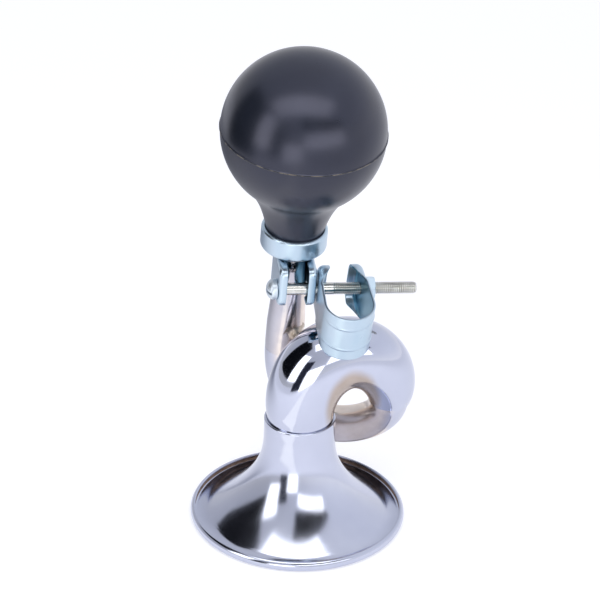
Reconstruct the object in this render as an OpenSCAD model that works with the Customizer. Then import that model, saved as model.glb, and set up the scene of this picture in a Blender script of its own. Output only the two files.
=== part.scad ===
// Bulb horn: a coiled metal horn that stands on its bell, with a rubber bulb and a clamp for a round bar.
// Millimetres. +Z is up. The origin is the centre of the bell's mouth, on the plane that it stands on.
// X runs to the right along the loop, Y runs from the clamp to the back.

/* [Bell] */
// Outer radius of the curled rim
bell_rim_r = 35; // [33:0.5:37]
// Height of the bell to the top of its socket
bell_h = 37.6; // [36:0.2:39]
// Depth of the lap between the socket and the arch
socket_lap = 6.6; // [5:0.2:8]
// Radius of the curl at the rim
rim_curl_r = 1.8; // [1.5:0.1:2.1]
// How sharply the flare opens towards the rim
flare_power = 2.3; // [2.1:0.1:2.6]
// Thickness of the horn's sheet
sheet = 0.75; // [0.6:0.05:0.85]

/* [Loop] */
// Radius of the arch where it leaves the bell
throat_r = 10.75; // [10.4:0.05:11]
// Radius of the arch at its crown
crown_r = 11.9; // [11.5:0.05:12]
// Radius of the arch at its tail
tail_r = 6.95; // [6.8:0.05:7.2]
// Distance between the two legs of the arch
arch_w = 29.05; // [28.6:0.1:30]
// Rise of the arch above its legs
arch_rise = 18.5; // [18:0.1:18.8]
// How far back the tail of the arch stands from the bell's axis
arch_back = 10.4; // [10.2:0.1:10.8]
// Depth of the lower bend below its joint with the arch
bend_drop = 15.1; // [14:0.1:15.4]

/* [Stem] */
// Stem foot, to the left of the bell's axis
stem_left = 6; // [5.6:0.1:6.6]
// Stem foot, behind the bell's axis
stem_back = 18.5; // [18.4:0.1:19.4]
// Radius of the stem at its foot
stem_r = 6.2; // [6:0.05:6.3]
// Radius of the stem at its top
stem_top_r = 4.7; // [4.6:0.05:4.9]
// Length of the stem from its foot to its top
stem_len = 43.4; // [42.6:0.1:44.4]
// Outer radius of the cup that holds the bulb
cup_r = 10.7; // [10.4:0.1:11.2]
// Height of the cup
cup_h = 6.6; // [6:0.1:7.2]

/* [Bulb] */
// Outer radius of the bulb
bulb_r = 26.4; // [25:0.2:28]
// Distance from the end of the neck to the middle of the bulb
bulb_rise = 41.7; // [40:0.2:43]
// Outer radius of the neck
neck_r = 8.9; // [8.6:0.05:9.1]
// Thickness of the bulb's wall
bulb_wall = 3; // [2.6:0.1:3.2]

/* [Reed] */
// Outer radius of the reed tube above its flange
reed_r = 3.4; // [3.2:0.05:3.5]
// Length of the reed tube above its flange
reed_len = 15; // [13:0.5:17]
// Thickness of the reed tongue
tongue_t = 0.25; // [0.2:0.05:0.35]

/* [Clamp] */
// Height of the screw above the stem foot
screw_h = 30.4; // [30.2:0.1:30.8]
// Distance from the stem's axis to the screw's axis
screw_off = 11.5; // [11.4:0.1:12.4]
// Outer radius of the screw's thread
screw_r = 2; // [1.8:0.05:2.05]
// Screw length under the head
screw_len = 45.2; // [43:0.2:48]
// How far the strip on the stem reaches below the screw
strip_drop = 5.3; // [4.6:0.1:5.4]
// Gap between the strip on the stem and the cup above it
strip_gap = 0.7; // [0.5:0.1:1.2]
// Width of the strip that grips the bar
bar_strip = 17.6; // [16.6:0.2:17.8]
// Inner radius of the strip that grips the bar
bar_r = 7.4; // [7.2:0.05:7.6]
// Distance from the screw's axis to the bar's axis
bar_off = 15.5; // [15.2:0.1:15.8]
// Thickness of the clamp's sheet
strap = 0.75; // [0.7:0.05:0.85]
// Turn of the clamp about the stem, in degrees
clamp_turn = 9; // [6:1:10]
// Slope of the bar clip about the screw, in degrees
bar_slope = 10; // [7:0.5:10.5]
// Inward lean of the ear on the nut's side, in degrees
ear_lean = 5; // [0:1:6]

/* [Hidden] */
$fn = 64;
// gap in soldered laps and pushed fits
seat_gap = 0.1;
// gap between pieces that move past each other
clear = 0.32;
// running fit on shafts and pins
run_fit = 0.07;
// sides of a swept tube
sides = 32;

// bell
socket_r = throat_r + seat_gap + sheet;
flare_h = bell_h - socket_lap;
rim_c = bell_rim_r - rim_curl_r;
curl_step = 0.6;
flare_end_r = rim_c - curl_step;
foot_land = 1.9;
seat_step = 0.2;
curl_to = 65;

// loop
throat_rise = 3.2;
arch_foot_z = bell_h + throat_rise;
tail_drop = 1.8;
arch_tail_z = arch_foot_z - tail_drop;
bend_r = tail_r - sheet - seat_gap;
tail_gap = 0.4;
bend_top_z = arch_tail_z - tail_gap;
bend_low_z = arch_tail_z - bend_drop;
bend_bulge = 2;
stem_rise = 12.2;
stem_foot_z = arch_foot_z + stem_rise;
tail_lean = 0.1;
tail_y = arch_back + tail_lean * (arch_foot_z - bend_top_z);

// stem
stem_lean = [4.44, 3.15, 0];
stem_foot = [-stem_left, stem_back, stem_foot_z];
cone_from = 10;
cone_to = 36;
spigot_len = 2.5;
spigot_r = bend_r - sheet - 2.5 * seat_gap;
stem_bore = spigot_r - 0.7;
reed_plug_r = stem_top_r - 0.8;
cup_low = stem_len - 3.4;
cup_floor = cup_low + 0.8;
stay_h = 10;
stay_r = 2.6;

// bulb
neck_end = cup_floor + clear;
bulb_mid = neck_end + bulb_rise;
neck_top = cup_low + cup_h - 0.6;
neck_bore = neck_r - bulb_wall;
shoulder = 42;
neck_flare = 0.25;

// reed
flange_r = neck_bore - clear - 0.05;
flange_h = 1.6;
reed_from = stem_len + flange_h;
reed_face = 0.6;
reed_bore = reed_r - 0.8;
tongue_w = 2 * reed_r - 0.8;
tongue_from = reed_from + 0.5;
tongue_len = reed_len - 2.6;
tongue_open = 2.5;
wedge_t = 1.5;

// clamp
hole_r = screw_r + run_fit;
screw_pitch = 0.7;
thread_root_r = screw_r - 0.43;
strip_low = -strip_drop;
stem_strip = cup_low - strip_gap - screw_h - strip_low;
grip_r = stem_r_at(screw_h + strip_low) + 0.05;
grip_out = grip_r + strap;
ear_end = screw_off + 3.6;
ear_fold = 2.75;
ear_from = screw_off - 3.4;
head_r = 3.4;
head_h = 3.4;
head_seat = grip_out + 0.02;
slot_w = 0.9;
slot_deep = 1.5;
bar_out = bar_r + strap;
bar_mid = grip_out + clear + bar_out;
bar_end = 4.3;
bar_fold = 3.9;
fold_from = 5;
fold_full = 2.6;
corner_r = 3;
hair = 0.01;
ear_root = 0.3;
bead_r = 0.4;
nut_af = 7;
nut_h = 3.2;
nut_corner = nut_af / 2 / cos(30);
nut_x = bar_mid + (bar_out - (bar_off - nut_corner) * sin(ear_lean)) / cos(ear_lean) + clear;
thread_from = 12;

// radius of the stem at a height above its foot
function stem_r_at(h) = stem_r - (stem_r - stem_top_r) * (min(max(h, cone_from), cone_to) - cone_from) / (cone_to - cone_from);

// outer line of the flare and its slope
function flare_r(z) = socket_r + (flare_end_r - socket_r) * pow(1 - z / flare_h, flare_power);
function flare_slope(z) = -(flare_end_r - socket_r) * flare_power / flare_h * pow(1 - z / flare_h, flare_power - 1);
function flare_in(z) = [flare_r(z), z] - sheet / norm([1, flare_slope(z)]) * [1, -flare_slope(z)];
function flare_z(i, n) = sheet + (flare_h - sheet) * pow(i / n, 1.4);
function arc(c, r, from, to, n) = [for (i = [0:n]) c + r * [cos(from + (to - from) * i / n), sin(from + (to - from) * i / n)]];

// centre line of the arch at an angle from its foot, and of the lower bend at an angle from its joint
function arch_at(t) = [arch_w / 2 * (1 - cos(t)), arch_back * pow(t / 180, 1.2), arch_foot_z + arch_rise * sin(t)];
function bend_top(t) = t < 90 ? bend_top_z : stem_foot_z;
function bend_z(t) = bend_top(t) - (bend_top(t) - bend_low_z) * sin(t);
function bend_lean(t) = tan(stem_lean[1]) * pow(max(t - 90, 0) / 90, 2) * (bend_z(t) - stem_foot_z);
function bend_x(t) = arch_w - (arch_w + stem_left) / 2 * (1 - cos(t)) + bend_lean(t);
function bend_y(t) = tail_y + (stem_back - tail_y) * pow(sin(t / 2), 0.834) + bend_bulge * sin(t);
function bend_at(t) = [bend_x(t), bend_y(t), bend_z(t)];

arch_line = concat(
    [[0, 0, flare_h + seat_step], [0, 0, bell_h]],
    [for (t = [0:6:180]) arch_at(t)],
    [[arch_w, arch_back + tail_lean * (arch_foot_z - arch_tail_z), arch_tail_z]]
);
bend_line = concat(
    [[arch_w, arch_back, arch_foot_z]],
    [for (t = [0:6:174]) bend_at(t)],
    [bend_at(178), bend_at(180)]
);

// length along a line up to a point, and the radius that grows to the crown and falls to the tail
function run_to(line, i) = i == 0 ? 0 : run_to(line, i - 1) + norm(line[i] - line[i - 1]);
function swell(s) = throat_r * (1 - s) * (1 - 2 * s) + 4 * crown_r * s * (1 - s) + tail_r * s * (2 * s - 1);
arch_run = run_to(arch_line, len(arch_line) - 1);
arch_lap = socket_lap - seat_step;
function arch_share(i) = max(0, run_to(arch_line, i) - arch_lap) / (arch_run - arch_lap);
arch_radii = [for (i = [0:len(arch_line) - 1]) swell(arch_share(i))];
bend_radii = [for (p = bend_line) bend_r];

function unit(v) = v / norm(v);
function along(line, i) = unit(line[min(i + 1, len(line) - 1)] - line[max(i - 1, 0)]);
function across(line, i) = unit(cross(along(line, i), [0, 1, 0]));
function ring(line, i, r) = [for (j = [0:sides - 1]) line[i]
    + r * cos(360 * j / sides) * across(line, i)
    + r * sin(360 * j / sides) * cross(across(line, i), along(line, i))];
function flat(rows) = [for (row = rows) for (p = row) p];

// a round tube with a wall, swept along a line, open at both ends
module swept_tube(line, radii) {
    n = len(line);
    m = n * sides;
    outer = [for (i = [0:n - 1]) ring(line, i, radii[i])];
    inner = [for (i = [0:n - 1]) ring(line, i, radii[i] - sheet)];
    skin = [for (i = [0:n - 2]) for (j = [0:sides - 1]) let (k = (j + 1) % sides)
        [i * sides + j, i * sides + k, (i + 1) * sides + k, (i + 1) * sides + j]];
    out_a = [for (q = skin) [q[0], q[1], q[2]]];
    out_b = [for (q = skin) [q[0], q[2], q[3]]];
    in_a = [for (q = skin) [m + q[0], m + q[2], m + q[1]]];
    in_b = [for (q = skin) [m + q[0], m + q[3], m + q[2]]];
    last = (n - 1) * sides;
    low_a = [for (j = [0:sides - 1]) [j, m + j, m + (j + 1) % sides]];
    low_b = [for (j = [0:sides - 1]) [j, m + (j + 1) % sides, (j + 1) % sides]];
    top_a = [for (j = [0:sides - 1]) [last + j, last + (j + 1) % sides, m + last + (j + 1) % sides]];
    top_b = [for (j = [0:sides - 1]) [last + j, m + last + (j + 1) % sides, m + last + j]];
    polyhedron(
        points = concat(flat(outer), flat(inner)),
        faces = concat(out_a, out_b, in_a, in_b, low_a, low_b, top_a, top_b)
    );
}

// frames of the stem, the clamp, the screw and the bar clip
module at_stem() {
    translate(stem_foot) rotate(stem_lean) children();
}

module at_clamp() {
    at_stem() translate([0, 0, screw_h]) rotate([0, 0, clamp_turn]) children();
}

module at_screw() {
    at_clamp() translate([0, -screw_off, 0]) children();
}

module at_bar_clip() {
    at_screw() rotate([bar_slope, 0, 0]) children();
}

// half of a ring, on the side of positive or negative Y
module half_ring(r, wall, h, side) {
    difference() {
        cylinder(r = r, h = h);
        translate([0, 0, -1]) cylinder(r = r - wall, h = h + 2);
        translate([-2 * r, side > 0 ? -4 * r : 0, -1]) cube([4 * r, 4 * r, h + 2]);
    }
}

// spun sheet bell with a curled rim and a plain socket
module bell() {
    n = 20;
    outside = [for (i = [0:n]) [flare_r(flare_z(n - i, n)), flare_z(n - i, n)]];
    inside = [for (i = [0:n]) flare_in(flare_z(i, n))];
    color([0.78, 0.8, 0.87]) rotate_extrude() polygon(concat(
        [[socket_r, bell_h]],
        outside,
        arc([rim_c, rim_curl_r], rim_curl_r - sheet, -90, curl_to, 8),
        arc([rim_c, rim_curl_r], rim_curl_r, curl_to, -90, 12),
        [[rim_c - foot_land, 0]],
        inside,
        [[socket_r - sheet, bell_h]]
    ));
}

// wide tube that rises out of the bell, swells at the crown and comes down narrow
module loop_arch() {
    color([0.75, 0.77, 0.85]) swept_tube(arch_line, arch_radii);
}

// narrow return bend from the tail of the arch to the foot of the stem
module lower_bend() {
    color([0.62, 0.57, 0.52]) swept_tube(bend_line, bend_radii);
}

// straight tapered tube that carries the clamp, the cup and the reed
module stem_tube() {
    color([0.72, 0.74, 0.82]) at_stem() rotate_extrude() polygon([
        [spigot_r, -spigot_len],
        [spigot_r, 0.35],
        [stem_r, 0.35],
        [stem_r, cone_from],
        [stem_top_r, cone_to],
        [stem_top_r, stem_len],
        [reed_plug_r, stem_len],
        [reed_plug_r, cone_to - 4],
        [stem_bore, cone_from],
        [stem_bore, -spigot_len],
    ]);
}

// short bar of solder that ties the stem to the arch
module solder_stay() {
    lean_y = [0, -sin(stem_lean[0]), cos(stem_lean[0])];
    lean = [lean_y[2] * sin(stem_lean[1]), lean_y[1], lean_y[2] * cos(stem_lean[1])];
    start = stem_foot + stay_h * lean;
    crown = arch_at(52);
    way = unit(crown - start);
    reach = norm(crown - start) - crown_r + 0.35;
    color([0.7, 0.72, 0.74]) translate(start + (stem_r - 0.6) * way)
        rotate([0, acos(way[2]), atan2(way[1], way[0])]) cylinder(r = stay_r, h = reach - stem_r + 0.6);
}

// plated cup with a curled edge that holds the neck of the bulb
module bulb_socket() {
    lip_r = 0.55;
    lip_z = cup_low + cup_h - lip_r;
    wall_in = cup_r - sheet;
    color([0.76, 0.82, 0.88]) at_stem() {
        rotate_extrude() polygon(concat(
            [[stem_top_r + 0.03, cup_low], [cup_r - 1.4, cup_low]],
            arc([cup_r - 1.4, cup_low + 1.4], 1.4, -90, 0, 8),
            [[cup_r, lip_z], [wall_in, lip_z]],
            [[wall_in, cup_floor + 0.6], [wall_in - 0.6, cup_floor], [stem_top_r + 0.03, cup_floor]]
        ));
        translate([0, 0, lip_z]) rotate_extrude() translate([cup_r - sheet / 2, 0]) circle(r = lip_r, $fn = 32);
    }
}

// brass reed tube: a plug in the stem, a flange and a half round tube with an open face
module reed_tube() {
    color([0.8, 0.66, 0.36]) at_stem() difference() {
        union() {
            translate([0, 0, cone_to - 2]) cylinder(r = reed_plug_r - 0.02, h = stem_len - cone_to + 2);
            translate([0, 0, stem_len]) cylinder(r = flange_r, h = flange_h);
            translate([0, 0, stem_len]) cylinder(r = reed_r, h = flange_h + reed_len);
        }
        translate([0, 0, cone_to - 3]) cylinder(r = reed_bore, h = reed_from + reed_len - 1 - cone_to + 3);
        translate([-10, -10 - reed_face, reed_from]) cube([20, 10, reed_len + 1]);
    }
}

// brass wedge that keeps the root of the tongue on the reed tube
module reed_wedge() {
    front = reed_face + 2 * clear + tongue_t + 0.06;
    color([0.74, 0.58, 0.3]) at_stem() translate([-tongue_w / 2, -front - wedge_t, reed_from])
        cube([tongue_w, wedge_t, 1.6]);
}

// thin brass tongue that beats on the open face of the reed tube
module reed_tongue() {
    color([0.86, 0.73, 0.42]) at_stem() translate([0, -reed_face - clear, tongue_from])
        rotate([tongue_open, 0, 0]) translate([-tongue_w / 2, -tongue_t, 0])
        cube([tongue_w, tongue_t, tongue_len]);
}

// profile of the bulb: straight neck, curved shoulder and ball, at a distance inside its outer skin
function bulb_line(inset, low) =
    let (
        r = bulb_r - inset,
        a = neck_r - inset,
        p0 = [a, neck_top],
        p2 = [r * sin(shoulder), bulb_mid - r * cos(shoulder)],
        k = (p2[0] - a - neck_flare * (p2[1] - neck_top)) / (cos(shoulder) - neck_flare * sin(shoulder)),
        p1 = p2 - k * [cos(shoulder), sin(shoulder)]
    )
    concat(
        [[a, low]],
        [for (i = [0:8]) pow(1 - i / 8, 2) * p0 + 2 * (i / 8) * (1 - i / 8) * p1 + pow(i / 8, 2) * p2],
        [for (i = [1:18]) let (w = shoulder + (180 - shoulder) * i / 18)
            [i == 18 ? 0 : r * sin(w), bulb_mid - r * cos(w)]]
    );

// hollow rubber bulb with its neck
module bulb() {
    skin = bulb_line(0, neck_end);
    hollow = bulb_line(bulb_wall, neck_end);
    m = len(hollow);
    color([0.2, 0.2, 0.24]) at_stem() rotate_extrude()
        polygon(concat(skin, [for (i = [0:m - 1]) hollow[m - 1 - i]]));
}

// inward folds round the end of one ear of the stem clip
module stem_ear_folds() {
    inner = grip_out - ear_fold;
    translate([inner, -ear_end, strip_low]) cube([ear_fold, strap, stem_strip]);
    translate([inner, -ear_end, strip_low]) cube([ear_fold, ear_end - ear_from, strap]);
    translate([inner, -ear_end, strip_low + stem_strip - strap]) cube([ear_fold, ear_end - ear_from, strap]);
    translate([grip_r, -ear_end, strip_low]) cube([strap, ear_end, stem_strip]);
}

// plated strip bent round the stem, with folded ears for the screw
module stem_clip() {
    color([0.74, 0.81, 0.87]) at_clamp() difference() {
        union() {
            translate([0, 0, strip_low]) half_ring(grip_out, strap, stem_strip, 1);
            stem_ear_folds();
            mirror([1, 0, 0]) stem_ear_folds();
        }
        translate([-20, -screw_off, 0]) rotate([0, 90, 0]) cylinder(r = hole_r, h = 40);
    }
}

// block with two rounded far corners, from near the bar's axis to the end of an ear
module ear_block(x0, x1, end, half, round_r, root) {
    low = -bar_off - root;
    translate([x0, low, -half]) cube([x1 - x0, end - round_r - low, 2 * half]);
    translate([x0, low, round_r - half]) cube([x1 - x0, end - low, 2 * (half - round_r)]);
    for (s = [-1, 1])
        translate([x0, end - round_r, s * (half - round_r)]) rotate([0, 90, 0]) cylinder(r = round_r, h = x1 - x0);
}

// one ear of the bar clip, folded inwards at its top, end and bottom
module bar_ear() {
    half = bar_strip / 2 - hair;
    inner = strap - hair;
    far = bar_off + 5;
    translate([bar_mid - bar_out, 0, 0]) difference() {
        ear_block(hair, bar_fold, bar_end, half, corner_r, ear_root);
        ear_block(inner, bar_fold + 1, bar_end - strap, half - strap, corner_r - strap, 1);
        translate([0, 0, -half - 1]) linear_extrude(2 * half + 2) polygon([
            [inner, -far],
            [bar_fold + 2, -far],
            [bar_fold + 2, fold_full],
            [bar_fold, fold_full],
            [inner, -fold_from],
        ]);
    }
}

// plated strip bent round the bar, with two raised beads and folded ears
module bar_clip() {
    color([0.72, 0.8, 0.87]) at_bar_clip() difference() {
        union() {
            translate([bar_mid, -bar_off, -bar_strip / 2]) rotate([0, 0, 180])
                rotate_extrude(angle = 180 + ear_lean) translate([bar_r, 0]) square([strap, bar_strip]);
            for (s = [-1, 1])
                translate([bar_mid, -bar_off, s * bar_strip / 4]) rotate([0, 0, 185])
                    rotate_extrude(angle = 170) translate([bar_out - 0.1, 0]) circle(r = bead_r, $fn = 24);
            bar_ear();
            translate([bar_mid, -bar_off, 0]) rotate([0, 0, ear_lean])
                translate([bar_mid, bar_off, 0]) mirror([1, 0, 0]) bar_ear();
        }
        translate([-10, 0, 0]) rotate([0, 90, 0]) cylinder(r = hole_r, h = 60);
    }
}

// slotted round head screw, plain under the head and threaded to its end
module clamp_screw() {
    end = screw_len - head_seat;
    turns = floor((end - 0.8 - thread_from) / screw_pitch);
    thread = flat([for (k = [0:turns - 1]) [
        [thread_root_r, thread_from + k * screw_pitch],
        [screw_r, thread_from + (k + 0.5) * screw_pitch],
    ]]);
    color([0.7, 0.7, 0.67]) at_screw() difference() {
        rotate([0, 90, 0]) rotate_extrude() polygon(concat(
            [for (a = [0:10:90]) [a == 0 ? 0 : head_r * sin(a), -head_seat - 1 - (head_h - 1) * cos(a)]],
            [[head_r, -head_seat], [screw_r - 0.05, -head_seat], [screw_r - 0.05, thread_from - 0.4]],
            thread,
            [[thread_root_r, end - 0.6], [thread_root_r - 0.4, end], [0, end]]
        ));
        translate([-head_seat - head_h - 1, -10, -slot_w / 2]) cube([slot_deep + 1, 20, slot_w]);
    }
}

// hexagon nut
module clamp_nut() {
    color([0.66, 0.68, 0.7]) at_screw() translate([nut_x, 0, 0]) rotate([0, 90, 0]) difference() {
        intersection() {
            linear_extrude(nut_h) circle(r = nut_corner, $fn = 6);
            rotate_extrude() polygon([
                [0, 0],
                [nut_corner - 0.5, 0],
                [nut_corner, 0.35],
                [nut_corner, nut_h - 0.35],
                [nut_corner - 0.5, nut_h],
                [0, nut_h],
            ]);
        }
        translate([0, 0, -1]) cylinder(r = screw_r + run_fit, h = nut_h + 2);
    }
}

bell();
loop_arch();
lower_bend();
stem_tube();
solder_stay();
bulb_socket();
reed_tube();
reed_wedge();
reed_tongue();
bulb();
stem_clip();
bar_clip();
clamp_screw();
clamp_nut();
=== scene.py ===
import logging
import math
from dataclasses import dataclass, replace
from enum import Enum
from typing import Callable, Iterable, Optional, Sequence

import bmesh
import bpy
from mathutils import Matrix, Vector, noise


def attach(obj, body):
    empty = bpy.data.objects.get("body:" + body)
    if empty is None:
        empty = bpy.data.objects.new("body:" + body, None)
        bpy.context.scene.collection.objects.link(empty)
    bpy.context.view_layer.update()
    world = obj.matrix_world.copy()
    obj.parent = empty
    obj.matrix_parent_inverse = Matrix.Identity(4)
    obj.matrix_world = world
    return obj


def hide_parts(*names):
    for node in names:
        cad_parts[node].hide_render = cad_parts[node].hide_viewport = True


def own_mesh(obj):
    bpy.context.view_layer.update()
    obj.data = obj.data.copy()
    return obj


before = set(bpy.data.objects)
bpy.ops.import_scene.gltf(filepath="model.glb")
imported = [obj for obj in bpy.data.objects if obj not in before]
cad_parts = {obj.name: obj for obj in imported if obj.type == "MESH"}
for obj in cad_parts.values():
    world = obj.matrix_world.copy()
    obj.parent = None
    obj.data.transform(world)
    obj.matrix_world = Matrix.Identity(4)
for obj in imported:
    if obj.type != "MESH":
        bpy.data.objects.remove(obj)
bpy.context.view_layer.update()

MM = 0.001
SHEET = 0.75
THROAT_R = 10.75
BEND_R = 6.1
CURVE_STEPS = 120
LOG = logging.getLogger("bulb_horn")

Point = tuple[float, float, float]
Pair = tuple[float, float]
Profile = list[Pair]
Stops = Sequence[tuple[float, str]]
Tree = bpy.types.NodeTree
Socket = bpy.types.NodeSocket


class Body(str, Enum):
    """Rigid bodies of the horn that pieces ride on."""

    HORN = "horn"
    STEM_CLIP = "stem_clip"
    BAR_CLIP = "bar_clip"
    SCREW = "screw"


def linear(hex_colour: str) -> tuple[float, float, float, float]:
    """Turns an sRGB hex colour into linear light.

    Args:
        hex_colour: Six hex digits after a hash sign.

    Returns:
        Red, green, blue and an alpha of one.
    """
    parts = [int(hex_colour[i : i + 2], 16) / 255 for i in (1, 3, 5)]
    r, g, b = (c / 12.92 if c <= 0.04045 else ((c + 0.055) / 1.055) ** 2.4 for c in parts)
    return (r, g, b, 1.0)


def add_node(
    tree: Tree, kind: str, inputs: Optional[dict] = None, stops: Stops = (), **settings: object
) -> bpy.types.Node:
    """Adds one shader node, with its settings, values and links.

    Args:
        tree: Node tree that takes the node.
        kind: Blender's name of the node type.
        inputs: Input name or index to a plain value or to an output socket to link from.
        stops: Positions and sRGB hex colours, for a ramp.
        **settings: Attributes of the node.

    Returns:
        The node.
    """
    node = tree.nodes.new(kind)
    for key, value in settings.items():
        setattr(node, key, value)
    for key, value in (inputs or {}).items():
        if isinstance(value, Socket):
            tree.links.new(value, node.inputs[key])
        else:
            node.inputs[key].default_value = value
    if stops:
        elements = node.color_ramp.elements
        while len(elements) < len(stops):
            elements.new(0.5)
        for element, (position, colour) in zip(elements, stops):
            element.position = position
            element.color = linear(colour)
    return node


def blank_material(name: str) -> bpy.types.Material:
    """Makes a material with an empty node tree.

    Args:
        name: Material name.

    Returns:
        The material.
    """
    material = bpy.data.materials.new(name)
    material.use_nodes = True
    material.node_tree.nodes.clear()
    return material


def grain(tree: Tree, size_mm: float, stretch: Point, detail: float) -> Socket:
    """Noise with a grain of a real size.

    Args:
        tree: Node tree that takes the nodes.
        size_mm: Width of one grain in millimetres.
        stretch: Factors on X, Y and Z, below one to draw the grain out along that axis.
        detail: Octaves of finer noise.

    Returns:
        The noise value from 0 to 1.
    """
    place = add_node(tree, "ShaderNodeTexCoord").outputs["Object"]
    mapped = add_node(tree, "ShaderNodeMapping", {"Vector": place, "Scale": stretch}).outputs["Vector"]
    inputs = {"Vector": mapped, "Scale": 1.0 / (size_mm * MM), "Detail": detail}
    return add_node(tree, "ShaderNodeTexNoise", inputs).outputs["Fac"]


@dataclass(frozen=True)
class LoopShadePaint:
    """Painted warm shade inside the loop: where it falls, and its colours.

    Attributes:
        centre: Middle of the painted shade in millimetres.
        reach: Size of it along X, Y and Z, or zero to ignore that axis.
        fade: Share of the reach where the painted shade starts to fade and where it has gone.
        stops: Ramp of sRGB colours of the painted shade.
        gloss: Extra roughness where the shade is painted.
        wander: How far the cloudy tone moves the border.
    """

    centre: Point
    reach: Point
    fade: Pair
    stops: Stops
    gloss: float
    wander: float = 0.25

    def mask(self, tree: Tree, cloud: Socket) -> Socket:
        """Builds the share without painted shade, with an uneven border.

        Args:
            tree: Material tree.
            cloud: Noise that moves the border.

        Returns:
            One where no shade is painted and zero where the painted shade is full.
        """
        place = add_node(tree, "ShaderNodeTexCoord").outputs["Object"]
        scale = tuple(1 / (r * MM) if r else 0.0 for r in self.reach)
        shift = tuple(-c * MM * s for c, s in zip(self.centre, scale))
        inputs = {"Vector": place, "Location": shift, "Scale": scale}
        near = add_node(tree, "ShaderNodeMapping", inputs).outputs["Vector"]
        far = add_node(tree, "ShaderNodeVectorMath", {0: near}, operation="LENGTH").outputs["Value"]
        inputs = {0: cloud, 1: self.wander, 2: far}
        uneven = add_node(tree, "ShaderNodeMath", inputs, operation="MULTIPLY_ADD").outputs[0]
        inputs = {"Value": uneven, "From Min": self.fade[0], "From Max": self.fade[1]}
        return add_node(tree, "ShaderNodeMapRange", inputs, interpolation_type="SMOOTHSTEP").outputs["Result"]


@dataclass(frozen=True)
class Finish:
    """A surface: its colours, gloss and the relief that the making left on it.

    Attributes:
        name: Real material and how its surface was made.
        stops: Ramp of sRGB colours over the cloudy tone.
        cloud_mm: Size of the cloudy tone.
        gloss: Lowest and highest roughness.
        gloss_mm: Size of the gloss patches.
        relief_mm: Grain size of the fine relief.
        relief: Strength of the relief bump.
        depth_mm: Depth of the relief.
        metallic: One for bare metal.
        stretch: Direction of the grain.
        specular: Specular level of a non-metal.
        sheen_tint: Tint of a non-metal's mirror light.
        loop_shade: Place inside the loop where painted warm shade is mixed into the colour.
    """

    name: str
    stops: Stops
    cloud_mm: float
    gloss: Pair
    gloss_mm: float
    relief_mm: float
    relief: float
    depth_mm: float
    metallic: float = 1.0
    stretch: Point = (1.0, 1.0, 1.0)
    specular: float = 0.5
    sheen_tint: str = "#ffffff"
    loop_shade: Optional[LoopShadePaint] = None

    def build(self) -> bpy.types.Material:
        """Makes the material, once per name.

        Returns:
            The material.
        """
        found = bpy.data.materials.get(self.name)
        if found:
            return found
        material = blank_material(self.name)
        tree = material.node_tree
        cloud = grain(tree, self.cloud_mm, self.stretch, 3.0)
        colour = add_node(tree, "ShaderNodeValToRGB", {"Fac": cloud}, self.stops).outputs["Color"]
        patches = grain(tree, self.gloss_mm, self.stretch, 4.0)
        inputs = {"Value": patches, "To Min": self.gloss[0], "To Max": self.gloss[1]}
        gloss = add_node(tree, "ShaderNodeMapRange", inputs).outputs["Result"]
        # Painted shade: inside the loop a warmer, darker tone is mixed in, with extra roughness; full is the
        # share without it.
        if self.loop_shade:
            full = self.loop_shade.mask(tree, cloud)
            under = add_node(tree, "ShaderNodeValToRGB", {"Fac": cloud}, self.loop_shade.stops).outputs["Color"]
            inputs = {0: full, 6: under, 7: colour}
            colour = add_node(tree, "ShaderNodeMix", inputs, data_type="RGBA").outputs[2]
            inputs = {0: gloss, 1: self.loop_shade.gloss}
            dull = add_node(tree, "ShaderNodeMath", inputs, operation="ADD").outputs[0]
            inputs = {"Factor": full, "A": dull, "B": gloss}
            gloss = add_node(tree, "ShaderNodeMix", inputs).outputs["Result"]
        height = grain(tree, self.relief_mm, self.stretch, 3.0)
        inputs = {"Strength": self.relief, "Distance": self.depth_mm * MM, "Height": height}
        normal = add_node(tree, "ShaderNodeBump", inputs).outputs["Normal"]
        inputs = {"Base Color": colour, "Roughness": gloss, "Normal": normal, "Metallic": self.metallic}
        if self.metallic < 1.0:
            inputs["Specular IOR Level"] = self.specular
            inputs["Specular Tint"] = linear(self.sheen_tint)
        shader = add_node(tree, "ShaderNodeBsdfPrincipled", inputs)
        add_node(tree, "ShaderNodeOutputMaterial", {"Surface": shader.outputs["BSDF"]})
        return material


CHROME_STOPS = ((0.3, "#c4c8d8"), (0.7, "#bec2d3"))
# Colours of the painted warm shade inside the loop.
WARM_SHADE_STOPS = ((0.3, "#b9aca3"), (0.7, "#a3958b"))
PALE_WARM_SHADE_STOPS = ((0.3, "#ece0d7"), (0.7, "#d8cabf"))
# Painted warm shade and reflection inside the loop, where the tubes shade each other: a warmer, darker tone.
ARCH_LOOP_SHADE = LoopShadePaint(
    centre=(17, 0, 44), reach=(10.5, 0, 18), fade=(0.8, 1.06), stops=WARM_SHADE_STOPS, gloss=0.1
)
BEND_LOOP_SHADE = LoopShadePaint(
    centre=(10, 0, 40), reach=(19, 0, 45), fade=(0.97, 1.25), stops=PALE_WARM_SHADE_STOPS, gloss=0.14
)
# Bright chrome over spun sheet: a near mirror, softened by the fine lines that the spinning left.
CHROME = Finish(
    "chrome_plate_on_spun_sheet", CHROME_STOPS,
    cloud_mm=12, gloss=(0.12, 0.19), gloss_mm=5, relief_mm=0.5, relief=0.12, depth_mm=0.01,
)
# The same chrome on the arch: a clearer mirror, with faint waves from the buffing wheel, and painted warm
# shade inside the loop.
ARCH_CHROME = Finish(
    "chrome_plate_buffed_painted_shade_inside_loop", CHROME_STOPS,
    cloud_mm=12, gloss=(0.06, 0.11), gloss_mm=4, relief_mm=7, relief=0.25, depth_mm=0.02, loop_shade=ARCH_LOOP_SHADE,
)
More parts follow.
